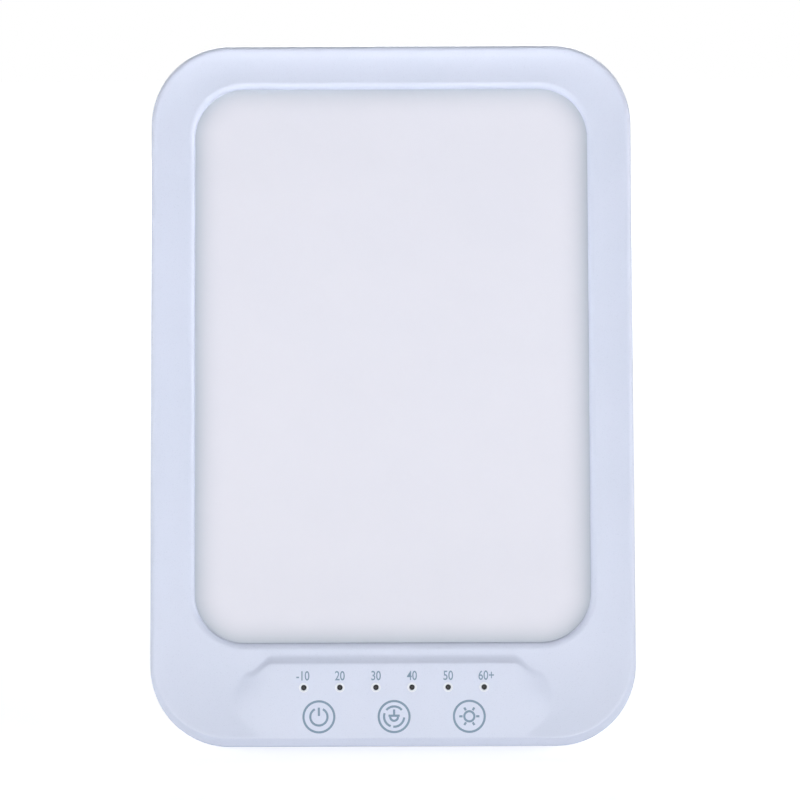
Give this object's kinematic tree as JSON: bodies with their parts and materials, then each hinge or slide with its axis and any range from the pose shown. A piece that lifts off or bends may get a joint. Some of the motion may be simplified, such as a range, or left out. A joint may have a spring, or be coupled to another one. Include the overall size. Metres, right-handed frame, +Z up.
{
  "type": "light therapy lamp",
  "caption": "Flat upright desk lamp with rounded corners: a large opal light window in a crowned pale frame, a touch control strip below it, and a fold-out rear leg on a hinge.",
  "frame": {"origin": "middle of the rubber foot strip's resting face, on the table", "axes": "+Z up, the light window faces -Y and leans back about X, +X to the right of someone who looks at the window"},
  "size_m": [0.1656, 0.0848, 0.2353],
  "materials": {
    "housing_plastic": "satin injection-moulded ABS, cool white",
    "opal_diffuser": "opal acrylic sheet, fine matt face",
    "white_reflector": "matt white polycarbonate",
    "white_board": "white solder mask on an aluminium core",
    "green_board": "green solder mask on glass-epoxy",
    "led_phosphor": "clear silicone over yellow phosphor",
    "dark_foam": "closed-cell foam",
    "smoked_guide": "smoked clear acrylic",
    "black_resin": "matt moulded epoxy and nylon",
    "ferrite": "sintered ferrite",
    "capacitor_can": "drawn can",
    "plated_contact": "nickel-plated brass",
    "white_nylon": "moulded nylon",
    "red_lead": "PVC insulation",
    "black_lead": "PVC insulation",
    "zinc_steel": "zinc-plated",
    "pin_steel": "drawn and polished",
    "foot_rubber": "moulded silicone, pale grey"
  },
  "bodies": {
    "lamp": {"front_frame": "housing_plastic", "rear_cover": "housing_plastic", "diffuser": "opal_diffuser", "diffuser_gasket": "dark_foam", "reflector_frame": "white_reflector", "led_board": "white_board", "led_chips": "led_phosphor", "led_board_screws": "zinc_steel", "control_board": "green_board", "control_board_screws": "zinc_steel", "touch_pads": "dark_foam", "light_guide": "smoked_guide", "indicator_leds": "led_phosphor", "control_chip": "black_resin", "driver_inductor": "ferrite", "driver_capacitors": "capacitor_can", "dc_jack": "black_resin", "dc_jack_pin": "plated_contact", "board_connector": "white_nylon", "led_connector": "white_nylon", "led_lead_red": "red_lead", "led_lead_black": "black_lead", "housing_screws": "zinc_steel", "base_foot": "foot_rubber", "hinge_pins": "pin_steel", "friction_washers": "white_nylon"},
    "stand": {"stand_leg": "housing_plastic", "stand_pad": "foot_rubber"}
  },
  "joints": [
    {"name": "stand_hinge", "type": "hinge", "parent": "lamp", "child": "stand", "pos_m": [0, 0.03467, 0.10661], "axis": [1, 0, 0], "range_deg": [-27, 0]}
  ]
}
